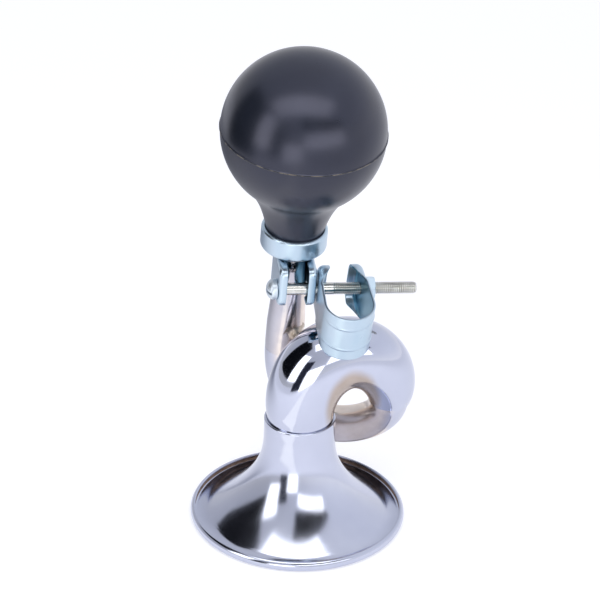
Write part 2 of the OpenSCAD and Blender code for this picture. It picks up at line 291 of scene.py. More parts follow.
# Chrome on the bend, with painted warm shade on the side that faces the loop: the colour turns warm and
# darker and the mirror duller there.
BEND_CHROME = Finish(
    "chrome_plate_bend_painted_warm_shade", ((0.3, "#c6c8d6"), (0.7, "#bdc0d0")),
    cloud_mm=9, gloss=(0.07, 0.14), gloss_mm=3, relief_mm=5, relief=0.3, depth_mm=0.02, loop_shade=BEND_LOOP_SHADE,
)
# Chrome on the stem: the same painted warm shade low down on the side of the loop, and a greyer, warmer tone
# than the arch, which is painted shade as well.
STEM_CHROME = replace(
    BEND_CHROME, name="chrome_plate_stem_painted_warm_shade", stops=((0.3, "#c2c0c8"), (0.7, "#b9b6be"))
)
# Inside of the rolled rim: a dull dark brown sheet colour, painted shade in the curl's hollow.
CURL_PAINTED_SHADE = Finish(
    "rim_curl_painted_shade", ((0.3, "#8b776c"), (0.7, "#6d5b50")),
    cloud_mm=3, gloss=(0.3, 0.5), gloss_mm=1.5, relief_mm=0.6, relief=0.4, depth_mm=0.03,
)
# Blue zinc over rolled strip: pale, satin, with a faint cloud.
ZINC = Finish(
    "zinc_plate_on_rolled_strip", ((0.25, "#c3d2de"), (0.75, "#b3c8d7")),
    cloud_mm=8, gloss=(0.25, 0.34), gloss_mm=3, relief_mm=0.9, relief=0.15, depth_mm=0.015,
    stretch=(1.0, 1.0, 0.35),
)
# The same zinc on the faces that look into the U: a deeper, darker blue, painted shade.
ZINC_INNER_SHADE = replace(
    ZINC, name="zinc_plate_painted_inner_shade", stops=((0.25, "#84b4c9"), (0.75, "#6ea5bd")),
    cloud_mm=6, gloss=(0.25, 0.36),
)
# Small pieces plated in a drum: duller, since they knock together.
DRUM_ZINC = Finish(
    "zinc_plate_drum_tumbled", ((0.3, "#dbe2e8"), (0.7, "#c9d4dd")),
    cloud_mm=2, gloss=(0.4, 0.5), gloss_mm=1, relief_mm=0.4, relief=0.2, depth_mm=0.015,
)
# Moulded rubber: blue black, with a soft sheen that the mould's skin leaves.
RUBBER = Finish(
    "black_rubber_moulded", ((0.3, "#11151d"), (0.7, "#1a1e28")),
    cloud_mm=14, gloss=(0.25, 0.33), gloss_mm=6, relief_mm=0.35, relief=0.2, depth_mm=0.03,
    metallic=0.0, specular=0.7, sheen_tint="#e4e4ff",
)
# Trimmed flash on the mould line: torn rubber, paler and without the skin's sheen.
FLASH = Finish(
    "black_rubber_flash_trimmed", ((0.45, "#1b1d22"), (0.6, "#6f6759")),
    cloud_mm=2.5, gloss=(0.5, 0.7), gloss_mm=1, relief_mm=0.2, relief=0.5, depth_mm=0.05,
    metallic=0.0, specular=0.4,
)
# Drawn screw steel with thin zinc: grey, with fine lines from the die.
STEEL = Finish(
    "zinc_plated_steel_rolled_thread", ((0.3, "#dadad6"), (0.7, "#c6c5bf")),
    cloud_mm=2, gloss=(0.16, 0.28), gloss_mm=0.8, relief_mm=0.25, relief=0.15, depth_mm=0.01,
)
# Soft solder wiped while hot: dull, with small ripples.
SOLDER = Finish(
    "tin_solder_wiped", ((0.3, "#c9bdb0"), (0.7, "#a99a8b")),
    cloud_mm=1.5, gloss=(0.25, 0.45), gloss_mm=0.8, relief_mm=0.7, relief=0.5, depth_mm=0.05,
)
# Rolled brass of the reed: warm yellow, with a light tarnish.
BRASS = Finish(
    "brass_rolled", ((0.3, "#cfae62"), (0.7, "#b08d45")),
    cloud_mm=2, gloss=(0.2, 0.34), gloss_mm=1, relief_mm=0.3, relief=0.25, depth_mm=0.01,
)


def new_object(
    name: str, mesh: bpy.types.Mesh, finish: Finish, body: Body, replaced: Iterable[str] = ()
) -> bpy.types.Object:
    """Places a mesh in the scene, paints it and ties it to the frame.

    Args:
        name: Piece name.
        mesh: Mesh in metres, in the row frame.
        finish: Surface of the piece.
        body: Body that the piece rides on.
        replaced: CAD nodes that the piece stands for.

    Returns:
        The object.
    """
    obj = bpy.data.objects.new(name, mesh)
    bpy.context.scene.collection.objects.link(obj)
    mesh.materials.append(finish.build())
    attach(obj, body.value)
    for node in replaced:
        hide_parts(node)
    return obj


def repaint(mesh: bpy.types.Mesh, finish: Finish, faces: Iterable[bpy.types.MeshPolygon]) -> None:
    """Gives some faces of a painted mesh a second finish.

    Args:
        mesh: Mesh with its main finish.
        finish: Second finish.
        faces: Faces that take it.
    """
    mesh.materials.append(finish.build())
    for face in faces:
        face.material_index = 1


def tidy(mesh: bpy.types.Mesh, sharp_deg: float = 38.0) -> None:
    """Joins doubled points, turns faces outwards and shades the mesh smooth with sharp corners.

    Args:
        mesh: Mesh to tidy.
        sharp_deg: Angle above which an edge stays sharp.
    """
    work = bmesh.new()
    work.from_mesh(mesh)
    bmesh.ops.remove_doubles(work, verts=work.verts, dist=1e-7)
    bmesh.ops.recalc_face_normals(work, faces=work.faces)
    work.to_mesh(mesh)
    work.free()
    mesh.polygons.foreach_set("use_smooth", [True] * len(mesh.polygons))
    mesh.set_sharp_from_angle(angle=math.radians(sharp_deg))


def mesh_from(name: str, work: bmesh.types.BMesh) -> bpy.types.Mesh:
    """Turns a work mesh into a plain one.

    Args:
        name: Mesh name.
        work: Work mesh, which is freed.

    Returns:
        The mesh.
    """
    mesh = bpy.data.meshes.new(name)
    work.to_mesh(mesh)
    work.free()
    return mesh


def grid_mesh(name: str, rows: Sequence[Sequence[Vector]], closed: bool = False) -> bpy.types.Mesh:
    """Skins rings of points with quads.

    Args:
        name: Mesh name.
        rows: Rings of equal length, in millimetres.
        closed: Whether the last ring joins the first.

    Returns:
        The mesh, smooth shaded with its corners kept sharp.
    """
    count = len(rows[0])
    faces = []
    for i in range(len(rows) if closed else len(rows) - 1):
        low, high = i * count, (i + 1) % len(rows) * count
        for j in range(count):
            k = (j + 1) % count
            faces.append((low + j, low + k, high + k, high + j))
    mesh = bpy.data.meshes.new(name)
    mesh.from_pydata([p * MM for row in rows for p in row], [], faces)
    tidy(mesh)
    return mesh


def circle(sides: int) -> list[float]:
    """Returns: Angles of the steps round a circle."""
    return [2 * math.pi * j / sides for j in range(sides)]


def lathe(
    name: str,
    profile: Profile,
    place: Matrix,
    sides: int,
    closed: bool = True,
    push: Optional[Callable[[float, float, float], float]] = None,
) -> bpy.types.Mesh:
    """Turns a profile about the local Z axis.

    Args:
        name: Mesh name.
        profile: Radius and height pairs in millimetres.
        place: Local frame in millimetres.
        sides: Steps round the axis.
        closed: Whether the profile is a closed line.
        push: Extra radius at a radius, height and angle.

    Returns:
        The mesh.
    """
    rows = []
    for r, z in profile:
        row = []
        for turn in circle(sides):
            reach = r + (push(r, z, turn) if push else 0.0)
            row.append(place @ Vector((reach * math.cos(turn), reach * math.sin(turn), z)))
        rows.append(row)
    return grid_mesh(name, rows, closed)


def sweep(
    name: str, line: Sequence[Vector], radii: Sequence[float], wall: float, sides: int
) -> bpy.types.Mesh:
    """Sweeps a round tube with a wall along a line.

    Args:
        name: Mesh name.
        line: Centre line in millimetres.
        radii: Outer radius at each point.
        wall: Wall thickness.
        sides: Steps round the tube.

    Returns:
        The mesh, a closed skin with flat ends.
    """
    turns = circle(sides)
    outer, inner = [], []
    for i, (centre, r) in enumerate(zip(line, radii)):
        along = (line[min(i + 1, len(line) - 1)] - line[max(i - 1, 0)]).normalized()
        across = along.cross(Vector((0, 1, 0))).normalized()
        up = across.cross(along)
        for rows, reach in ((outer, r), (inner, r - wall)):
            rows.append([centre + across * (reach * math.cos(t)) + up * (reach * math.sin(t)) for t in turns])
    return grid_mesh(name, outer + inner[::-1], True)


def add_grid(work: bmesh.types.BMesh, rows: Sequence[Sequence[Vector]]) -> None:
    """Adds rows of points to a mesh, skinned with quads.

    Args:
        work: Mesh that takes them.
        rows: Rows of equal length, in millimetres.
    """
    made = [[work.verts.new(p * MM) for p in row] for row in rows]
    for low, high in zip(made, made[1:]):
        for j in range(len(low) - 1):
            work.faces.new((low[j], low[j + 1], high[j + 1], high[j]))


def carve(name: str, mesh: bpy.types.Mesh, cutter: bpy.types.Mesh) -> bpy.types.Mesh:
    """Cuts one mesh out of another.

    Args:
        name: Name of the result.
        mesh: Mesh to cut.
        cutter: Mesh to take away.

    Returns:
        The cut mesh.
    """
    body = bpy.data.objects.new(name + "_raw", mesh)
    tool = bpy.data.objects.new(name + "_cutter", cutter)
    for obj in (body, tool):
        bpy.context.scene.collection.objects.link(obj)
    cut = body.modifiers.new("cut", "BOOLEAN")
    cut.object = tool
    cut.operation = "DIFFERENCE"
    bpy.context.view_layer.update()
    done = bpy.data.meshes.new_from_object(body.evaluated_get(bpy.context.evaluated_depsgraph_get()))
    for obj in (body, tool):
        bpy.data.objects.remove(obj)
    done.name = name
    tidy(done, 30)
    return done


def share(value: float, start: float, end: float) -> float:
    """Returns: How far a value has come from a start to an end, kept between 0 and 1."""
    return min(max((value - start) / (end - start), 0.0), 1.0)


def arc(centre: Pair, r: float, start: float, end: float, steps: int) -> Profile:
    """Points on an arc of a profile.

    Args:
        centre: Radius and height of the arc's centre.
        r: Radius of the arc.
        start: First angle in degrees.
        end: Last angle in degrees.
        steps: Steps between the two.

    Returns:
        The points.
    """
    angles = [math.radians(start + (end - start) * i / steps) for i in range(steps + 1)]
    return [(centre[0] + r * math.cos(a), centre[1] + r * math.sin(a)) for a in angles]


def bow(start: Vector, pull: Vector, end: Vector, steps: int = 24) -> Profile:
    """Points on a curve of a profile that bends towards a third point.

    Args:
        start: First point.
        pull: Point that the curve bends towards.
        end: Last point.
        steps: Steps between the two ends.

    Returns:
        The points.
    """
    shares = [i / steps for i in range(steps + 1)]
    curve = [start * (1 - s) ** 2 + pull * (2 * s * (1 - s)) + end * s**2 for s in shares]
    return [(p.x, p.y) for p in curve]


@dataclass
class StemFrame:
    """Where the leaning stem stands, and the frames that hang on it.

    Attributes:
        foot: Foot of the stem in millimetres.
        lean: Turns about X and then Y, in degrees.
        screw_h: Height of the screw above the foot.
        screw_off: Distance from the stem's axis to the screw's axis.
        turn: Turn of the clamp about the stem, in degrees.
    """

    foot: Point = (-6.0, 18.5, 53.0)
    lean: Pair = (4.44, 3.15)
    screw_h: float = 30.4
    screw_off: float = 11.5
    turn: float = 9.0

    def stem(self) -> Matrix:
        """Works out where the stem stands.

        Returns:
            The frame at the stem's foot, with Z along the stem.
        """
        about_x, about_y = (math.radians(a) for a in self.lean)
        leaning = Matrix.Translation(self.foot) @ Matrix.Rotation(about_y, 4, "Y")
        return leaning @ Matrix.Rotation(about_x, 4, "X")

    def screw(self) -> Matrix:
        """Returns: The frame on the screw's axis, with X along the screw."""
        up = Matrix.Translation((0, 0, self.screw_h)) @ Matrix.Rotation(math.radians(self.turn), 4, "Z")
        return self.stem() @ up @ Matrix.Translation((0, -self.screw_off, 0))

    def axis(self) -> Vector:
        """Returns: The direction of the stem."""
        return (self.stem().to_3x3() @ Vector((0, 0, 1))).normalized()


STEM = StemFrame()


@dataclass
class Bell:
    """The spun bell with its curled rim and plain socket.

    Attributes:
        rim_r: Outer radius of the rim.
        height: Height to the top of the socket.
        lap: Depth of the socket.
        lip_r: Rounding of the socket's edge.
        crease_up: Height of the spinner's crease above the flare.
        crease: Half the height of the crease, and its depth.
        curl_r: Radius of the curl.
        curl_from: Angle where the curl's inner face starts, in degrees.
        curl_to: Angle where the curl ends, in degrees.
        foot_in: Distance from the curl's centre in to the foot of the flare.
        under_in: Distance from the curl's centre in to the end of the flat underside.
        power: Sharpness of the flare.
        steps: Steps up the flare.
        crowding: How close together those steps are near the rim, one for even steps.
        flat_from: Radius and height where the flare starts to run flat.
        flat_pull: Point that the flattening curve bends towards.
        flat_in: Distance from the curl's centre in to the end of the flat part.
        hollow_r: Radius of the hollow between the flat part and the curl.
        curl_shade_from: Least distances out and up from the curl's centre where shade is painted.
        curl_shade_depth: Share of the sheet that a shaded place has to be under the curl's outer face.
        sheet: Sheet thickness.
        throat_r: Radius of the arch that sits in the socket.
        gap: Solder gap in the socket.
    """

    rim_r: float = 35.0
    height: float = 37.6
    lap: float = 6.6
    lip_r: float = 0.6
    crease_up: float = 2.7
    crease: Pair = (0.25, 0.05)
    curl_r: float = 1.8
    curl_from: float = 34.0
    curl_to: float = 65.0
    foot_in: float = 0.6
    under_in: float = 1.9
    power: float = 2.3
    steps: int = 70
    crowding: float = 1.4
    flat_from: Pair = (29.0, 2.44)
    flat_pull: Pair = (30.65, 1.25)
    flat_in: float = 0.25
    hollow_r: float = 1.2
    curl_shade_from: Pair = (0.3, -0.4)
    curl_shade_depth: float = 0.7
    sheet: float = SHEET
    throat_r: float = THROAT_R
    gap: float = 0.1

    def profile(self) -> Profile:
        """Works out the section of the sheet.

        Returns:
            The closed profile, outside first.
        """
        socket_r = self.throat_r + self.gap + self.sheet
        flare_h = self.height - self.lap
        curl_c = (self.rim_r - self.curl_r, self.curl_r)
        reach = curl_c[0] - self.foot_in - socket_r
        # The steps crowd towards the rim, where the flare turns most.
        shares = [(i / self.steps) ** self.crowding for i in range(self.steps + 1)]
        heights = [self.sheet + (flare_h - self.sheet) * s for s in shares]
        outside, inside = [], []
        for z in heights:
            r = socket_r + reach * (1 - z / flare_h) ** self.power
            slope = -reach * self.power / flare_h * (1 - z / flare_h) ** (self.power - 1)
            length = math.hypot(1, slope)
            outside.append((r, z))
            inside.append((r - self.sheet / length, z + self.sheet * slope / length))
        crease, (half, depth) = flare_h + self.crease_up, self.crease
        top = arc((socket_r - self.lip_r, self.height - self.lip_r), self.lip_r, 90, 0, 8)
        top += [(socket_r, crease + half), (socket_r - depth, crease - half)]
        end = self.curl_to
        edge_c = arc(curl_c, self.curl_r - self.sheet / 2, end, end, 1)[0]
        return (
            top
            + [p for p in outside[::-1] if p[0] < self.flat_from[0]]
            + self.flat_part(curl_c[0])
            + arc(curl_c, self.curl_r - self.sheet, self.curl_from, end, 5)
            + arc(edge_c, self.sheet / 2, end + 180, end, 8)[1:-1]
            + arc(curl_c, self.curl_r, end, -90, 28)
            + [(curl_c[0] - self.under_in, 0.0)]
            + inside
            + [(socket_r - self.sheet, self.height)]
        )

    def flat_part(self, curl_x: float) -> Profile:
        """Outer part of the flare, which runs flat into the hollow under the rim's curl.

        Args:
            curl_x: Radius of the curl's centre.

        Returns:
            The points.
        """
        end = (curl_x - self.flat_in, self.flat_pull[1])
        hollow_c = (end[0], end[1] + self.hollow_r)
        curve = bow(Vector(self.flat_from), Vector(self.flat_pull), Vector(end))
        return curve + arc(hollow_c, self.hollow_r, -84, -6, 14)

    def in_curl_shade(self, place: Vector) -> bool:
        """Tells whether a place lies in the curl's hollow, where shade is painted.

        Args:
            place: Place on the bell in millimetres.

        Returns:
            Whether it is inside the curl.
        """
        out, up = place.xy.length - self.rim_r + self.curl_r, place.z - self.curl_r
        inside = math.hypot(out, up) < self.curl_r - self.sheet * self.curl_shade_depth
        return inside and out > self.curl_shade_from[0] and up > self.curl_shade_from[1]

    def build(self) -> list[bpy.types.Object]:
        """Spins the bell and paints shade on the sheet inside its curl.

        Returns:
            The bell.
        """
        mesh = lathe("bell_shell", self.profile(), Matrix.Identity(4), 288)
        bell = new_object("bell_shell", mesh, CHROME, Body.HORN, ["bell"])
        # Painted shade: the faces in the curl's hollow take a dull dark brown.
        repaint(mesh, CURL_PAINTED_SHADE, [face for face in mesh.polygons if self.in_curl_shade(face.center / MM)])
        return [bell]


@dataclass
class Loop:
    """The wide arch and the narrow return bend under it.

    Attributes:
        throat_r: Radius where the arch leaves the bell.
        crown_r: Radius at the crown.
        tail_r: Radius at the tail.
        bend_r: Radius of the bend.
        width: Distance between the arch's legs.
        rise: Rise of the arch above its legs.
        back: Set back of the arch's tail.
        back_power: How late along the arch its set back comes.
        foot_z: Height of the arch's legs.
        seat_z: Lower end of the arch in the socket.
        plain: Length of the arch before it swells.
        tail: Length of the arch's tail below its leg.
        lapped: Length of the bend below the arch's leg before it curves.
        slope: Set back for each millimetre of these two lengths.
        low_z: Lowest point of the bend's centre line.
        bulge: Set back of the bend behind the bell.
        bend_power: How late along the bend its set back comes.
        sheet: Wall thickness.
    """

    throat_r: float = THROAT_R
    crown_r: float = 11.9
    tail_r: float = 6.95
    bend_r: float = BEND_R
    width: float = 29.05
    rise: float = 18.5
    back: float = 10.4
    back_power: float = 1.2
    foot_z: float = 40.8
    seat_z: float = 31.2
    plain: float = 6.4
    tail: float = 1.8
    lapped: float = 2.2
    slope: float = 0.1
    low_z: float = 23.9
    bulge: float = 2.0
    bend_power: float = 0.834
    sheet: float = SHEET

    def arch_line(self) -> tuple[list[Vector], list[float]]:
        """Works out the arch, which swells to its crown and narrows to its tail.

        Returns:
            Its centre line, and its radius at each point.
        """
        line = [Vector((0, 0, self.seat_z + (self.foot_z - self.seat_z) * i / 12)) for i in range(12)]
        for i in range(CURVE_STEPS + 1):
            t = math.pi * i / CURVE_STEPS
            x = self.width / 2 * (1 - math.cos(t))
            y = self.back * (i / CURVE_STEPS) ** self.back_power
            line.append(Vector((x, y, self.foot_z + self.rise * math.sin(t))))
        line.append(Vector((self.width, self.back + self.slope * self.tail, self.foot_z - self.tail)))
        run = [0.0]
        for a, b in zip(line, line[1:]):
            run.append(run[-1] + (b - a).length)
        radii = []
        for length in run:
            s = max(0.0, length - self.plain) / (run[-1] - self.plain)
            ends = self.throat_r * (1 - s) * (1 - 2 * s) + self.tail_r * s * (2 * s - 1)
            radii.append(ends + 4 * self.crown_r * s * (1 - s))
        return line, radii

    def bend_line(self) -> list[Vector]:
        """Works out the bend, from the arch's tail down and up to the stem's foot.

        Returns:
            Its centre line.
        """
        half = CURVE_STEPS // 2
        foot = Vector(STEM.foot)
        lean = math.tan(math.radians(STEM.lean[1]))
        tail_y = self.back + self.slope * self.lapped
        line = [Vector((self.width, self.back, self.foot_z))]
        for i in range(CURVE_STEPS + 1):
            t = math.pi * i / CURVE_STEPS
            top = self.foot_z - self.lapped if i < half else foot.z
            z = top - (top - self.low_z) * math.sin(t)
            x = self.width - (self.width - foot.x) / 2 * (1 - math.cos(t))
            x += lean * max(i / half - 1, 0.0) ** 2 * (z - foot.z)
            y = tail_y + (foot.y - tail_y) * math.sin(t / 2) ** self.bend_power + self.bulge * math.sin(t)
            line.append(Vector((x, y, z)))
        return line

    def build(self) -> list[bpy.types.Object]:
        """Bends both tubes.

        Returns:
            The arch and the bend.
        """
        arch = sweep("arch_tube", *self.arch_line(), self.sheet, 128)
        bend_line = self.bend_line()
        bend = sweep("bend_tube", bend_line, [self.bend_r] * len(bend_line), self.sheet, 96)
        return [
            new_object("arch_tube", arch, ARCH_CHROME, Body.HORN, ["loop_arch"]),
            new_object("bend_tube", bend, BEND_CHROME, Body.HORN, ["lower_bend"]),
        ]


@dataclass
class Stem:
    """The tapered stem, the cup on its top and the solder at its side.

    Attributes:
        foot_r: Radius at the foot.
        top_r: Radius at the top.
        length: Length above the foot.
        taper: Heights where the taper starts and ends.
        joint_r: Radius at the joint with the bend.
        joint_gap: Gap of that joint.
        joint_h: Height over which the stem widens from it.
        plug: Radius and depth of the end that sits in the bend.
        bore: Radius of the bore below and above.
        bore_top: Height where the upper bore starts.
        cup_r: Outer radius of the cup.
        cup_h: Height of the cup.
        cup_low: Distance of the cup's underside below the stem's top.
        cup_gap: Gap between the cup and the stem.
        cup_turn: Rounding under the cup.
        cup_floor: Thickness of the cup's floor.
        cup_corner: Width of the slope between the floor and the wall.
        lip_r: Radius of the rolled lip.
        lip_edge: Chamfer and depth of the lip's inner edge.
        lip_back: Depths where the back of the lip starts and ends.
        sheet: Sheet thickness of the cup.
        solder_h: Height of the solder on the stem.
        solder_r: Radius of the solder in its middle, and what it gains at both ends.
        solder_wall: Wall of the solder's skin.
        sink: How far the solder starts inside the stem.
        crown: Point on the arch's centre line that the solder runs towards.
        crown_r: Distance from that point where the solder ends.
    """

    foot_r: float = 6.2
    top_r: float = 4.7
    length: float = 43.4
    taper: Pair = (10.0, 36.0)
    joint_r: float = BEND_R
    joint_gap: float = 0.04
    joint_h: float = 2.5
    plug: Pair = (5.1, 2.5)
    bore: Pair = (4.4, 3.9)
    bore_top: float = 32.0
    cup_r: float = 10.7
    cup_h: float = 7.4
    cup_low: float = 3.85
    cup_gap: float = 0.03
    cup_turn: float = 1.4
    cup_floor: float = 0.8
    cup_corner: float = 0.6
    lip_r: float = 0.95
    lip_edge: Pair = (0.04, 0.15)
    lip_back: Pair = (0.7, 1.1)
    sheet: float = SHEET
    solder_h: float = 10.0
    solder_r: Pair = (2.3, 1.9)
    solder_wall: float = 1.5
    sink: float = 1.4
    crown: Point = (5.58, 2.34, 55.38)
    crown_r: float = 10.6

    def tube(self) -> Profile:
        """Works out the section of the stem.

        Returns:
            The closed profile.
        """
        (plug_r, plug_l), (low_bore, high_bore) = self.plug, self.bore
        start, end = self.taper
        outside = [
            (plug_r, -plug_l), (plug_r, self.joint_gap), (self.joint_r, self.joint_gap),
            (self.foot_r, self.joint_h), (self.foot_r, start), (self.top_r, end), (self.top_r, self.length),
        ]
        return outside + [
            (high_bore, self.length), (high_bore, self.bore_top), (low_bore, start), (low_bore, -plug_l)
        ]

    def cup(self) -> Profile:
        """Works out the section of the cup with its rolled lip.

        Returns:
            The closed profile.
        """
        low, bore = self.length - self.cup_low, self.top_r + self.cup_gap
        top, wall_in = low + self.cup_h, self.cup_r - self.sheet
        turn, lip, floor = self.cup_turn, self.lip_r, low + self.cup_floor
        cut, drop = self.lip_edge
        edge = self.cup_r - lip - drop
        return (
            [(bore, low)]
            + arc((self.cup_r - turn, low + turn), turn, -90, 0, 10)
            + arc((self.cup_r - lip, top - lip), lip, 0, 90, 14)
            + [(edge + cut, top - cut), (edge, top - drop)]
            + [(edge, top - self.lip_back[0]), (wall_in, top - self.lip_back[1])]
            + [(wall_in, low + turn), (wall_in - self.cup_corner, floor), (bore, floor)]
        )

    def solder(self) -> tuple[list[Vector], list[float]]:
        """Works out the solder from the stem to the arch.

        Returns:
            Its line, and radii that flare onto both tubes.
        """
        start, crown = STEM.stem() @ Vector((0, 0, self.solder_h)), Vector(self.crown)
        way = (crown - start).normalized()
        near, far = self.foot_r - self.sink, (crown - start).length - self.crown_r
        shares = [i / 24 for i in range(25)]
        line = [start + way * (near + (far - near) * s) for s in shares]
        return line, [self.solder_r[0] + self.solder_r[1] * abs(2 * s - 1) ** 3 for s in shares]

    def build(self) -> list[bpy.types.Object]:
        """Builds the stem with its cup and solder; the reed keeps its CAD shape.

        Returns:
            The stem, the cup and the solder.
        """
        place = STEM.stem()
        tube = lathe("stem_tube_skin", self.tube(), place, 128)
        solder = sweep("solder_fillet", *self.solder(), self.solder_wall, 64)
        cup = lathe("cup_shell", self.cup(), place, 160)
        return [
            new_object("stem_tube_skin", tube, STEM_CHROME, Body.HORN, ["stem_tube"]),
            new_object("cup_shell", cup, ZINC, Body.HORN, ["bulb_socket"]),
            new_object("solder_fillet", solder, SOLDER, Body.HORN, ["solder_stay"]),
        ]


@dataclass
class RubberBulb:
    """The hollow bulb with its mould line.

    Attributes:
        radius: Outer radius of the ball.
        neck_r: Outer radius of the neck.
        neck_end: Lower end of the neck above the stem's foot.
        neck_top: Height where the shoulder starts.
        rise: Distance from the neck's end to the ball's middle.
        wall: Wall thickness.
        shoulder: Angle from the bottom where the ball starts, in degrees.
        flare: Slope of the neck where the shoulder starts.
        tuck: How much the neck narrows inside the cup.
        tuck_end: Distance under the shoulder where that part ends.
        nip: How much the neck narrows at the cup's lip, and the distance of that under the shoulder.
        flash: Height of the mould line.
        flash_w: Half the width of the mould line.
        ragged: Mean share of that height, and how far it wanders.
        torn: Half the width of the torn rubber on the mould line.
        uneven: Depth of the skin's unevenness.
        lobes: How often the mould line and the skin wander round the ball.
        drawn: Share of a height that the wandering follows.
        plain: Margin and half height of the inner skin that stays plain beside the mould line.
    """

    radius: float = 26.4
    neck_r: float = 9.65
    neck_end: float = 41.12
    neck_top: float = 47.7
    rise: float = 41.7
    wall: float = 3.0
    shoulder: float = 42.0
    flare: float = 0.25
    tuck: float = 0.12
    tuck_end: float = 0.9
    nip: Pair = (0.15, 0.35)
    flash: float = 0.42
    flash_w: float = 0.26
    ragged: Pair = (0.7, 0.5)
    torn: float = 0.2
    uneven: float = 0.05
    lobes: Pair = (5.0, 1.7)
    drawn: float = 0.05
    plain: Pair = (0.5, 3.0)

    def middle(self) -> float:
        """Returns: Height of the ball's middle above the stem's foot."""
        return self.neck_end + self.rise

    def skin(self, inset: float, steps: int) -> Profile:
        """Profile of the skin from the neck's end to the top.

        Args:
            inset: Distance inside the outer skin.
            steps: Steps on the ball.

        Returns:
            The points.
        """
        r, a = self.radius - inset, self.neck_r - inset
        w = math.radians(self.shoulder)
        start, end = Vector((a, self.neck_top)), Vector((r * math.sin(w), self.middle() - r * math.cos(w)))
        way = Vector((math.cos(w), math.sin(w)))
        k = (end.x - a - self.flare * (end.y - self.neck_top)) / (way.x - self.flare * way.y)
        points = [(a - self.tuck, self.neck_end), (a - self.tuck, self.neck_top - self.tuck_end)]
        points += [(a - self.nip[0], self.neck_top - self.nip[1])]
        points += bow(start, end - way * k, end)
        for i in range(1, steps + 1):
            angle = w + (math.pi - w) * i / steps
            points.append((max(r * math.sin(angle), 0.0), self.middle() - r * math.cos(angle)))
        return points

    def push(self, r: float, z: float, turn: float) -> float:
        """Adds the mould line, ragged round the ball, and the slight unevenness of the skin.

        Args:
            r: Radius on the profile.
            z: Height above the stem's foot.
            turn: Angle round the stem.

        Returns:
            The extra radius.
        """
        off = z - self.middle()
        if r < self.radius - self.wall + self.plain[0] and abs(off) < self.plain[1]:
            return 0.0
        place = Vector((math.cos(turn), math.sin(turn), off * self.drawn))
        ragged = self.ragged[0] + self.ragged[1] * noise.noise(place * self.lobes[0])
        line = self.flash * ragged * math.exp(-((off / self.flash_w) ** 4))
        return line + self.uneven * noise.noise(place * self.lobes[1])

    def build(self) -> list[bpy.types.Object]:
        """Moulds the bulb.

        Returns:
            The bulb.
        """
        place, axis = STEM.stem(), STEM.axis()
        profile = self.skin(0.0, 300) + self.skin(self.wall, 60)[::-1]
        mesh = lathe("rubber_bulb", profile, place, 192, True, self.push)
        obj = new_object("rubber_bulb", mesh, RUBBER, Body.HORN, ["bulb"])
        middle = place @ Vector((0, 0, self.middle()))
        ways = [(face, face.center / MM - middle) for face in mesh.polygons]
        outer = [(face, way) for face, way in ways if way.length > self.radius - self.wall / 3]
        repaint(mesh, FLASH, [face for face, way in outer if abs(way.dot(axis)) < self.torn])
        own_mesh(obj)
        return [obj]


